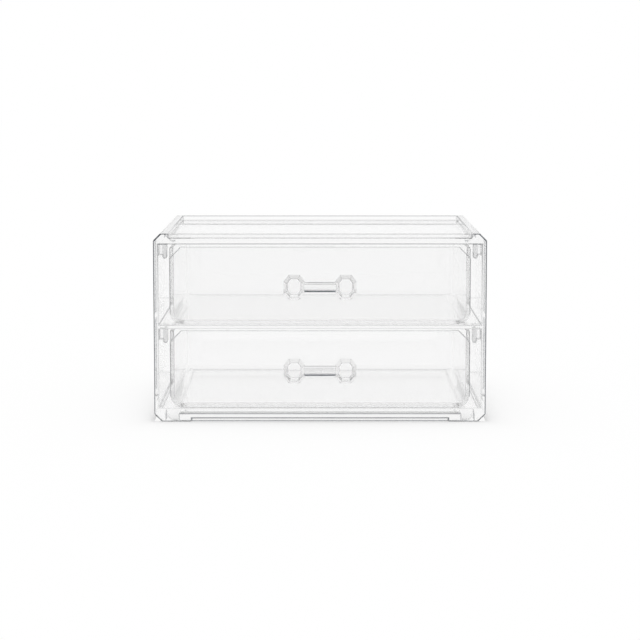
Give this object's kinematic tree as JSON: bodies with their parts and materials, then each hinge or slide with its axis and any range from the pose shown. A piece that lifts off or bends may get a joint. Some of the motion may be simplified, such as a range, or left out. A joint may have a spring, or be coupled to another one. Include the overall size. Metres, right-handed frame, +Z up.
{
  "type": "clear desk organiser with drawers",
  "caption": "Clear plastic desk organiser: bevelled case with a rimmed top, a shelf, and full-width pull-out drawers with faceted dumbbell handles.",
  "frame": {"origin": "on the surface the case stands on, under the middle of the closed organiser's bounding box, handles included", "axes": "+Z up, +X to the right of someone facing the drawers, drawers pull out towards -Y"},
  "size_m": [0.24, 0.162, 0.1365],
  "materials": {
    "clear_case_plastic": "clear, polished, water-white",
    "clear_drawer_plastic": "clear, polished, water-white",
    "faceted_handle_plastic": "clear, polished facets"
  },
  "bodies": {
    "case": {"top_panel": "clear_case_plastic", "middle_shelf": "clear_case_plastic", "base_panel": "clear_case_plastic", "back_panel": "clear_case_plastic", "front_rim_bar": "clear_case_plastic", "rear_rim_bar": "clear_case_plastic", "front_skirt_bar": "clear_case_plastic", "rear_skirt_bar": "clear_case_plastic", "left_side_panel": "clear_case_plastic", "top_left_corner_bar": "clear_case_plastic", "base_left_corner_bar": "clear_case_plastic", "upper_left_guide_tab": "clear_case_plastic", "lower_left_guide_tab": "clear_case_plastic", "right_side_panel": "clear_case_plastic", "top_right_corner_bar": "clear_case_plastic", "base_right_corner_bar": "clear_case_plastic", "upper_right_guide_tab": "clear_case_plastic", "lower_right_guide_tab": "clear_case_plastic"},
    "lower_drawer": {"lower_drawer_front": "clear_drawer_plastic", "lower_drawer_tray": "clear_drawer_plastic", "lower_drawer_handle_bar": "faceted_handle_plastic", "lower_drawer_left_knob": "faceted_handle_plastic", "lower_drawer_right_knob": "faceted_handle_plastic"},
    "upper_drawer": {"upper_drawer_front": "clear_drawer_plastic", "upper_drawer_tray": "clear_drawer_plastic", "upper_drawer_handle_bar": "faceted_handle_plastic", "upper_drawer_left_knob": "faceted_handle_plastic", "upper_drawer_right_knob": "faceted_handle_plastic"}
  },
  "joints": [
    {"name": "lower_drawer_slide", "type": "slide", "parent": "case", "child": "lower_drawer", "axis": [0, -1, 0], "range_m": [0, 0.1]},
    {"name": "upper_drawer_slide", "type": "slide", "parent": "case", "child": "upper_drawer", "axis": [0, -1, 0], "range_m": [0, 0.1]}
  ]
}
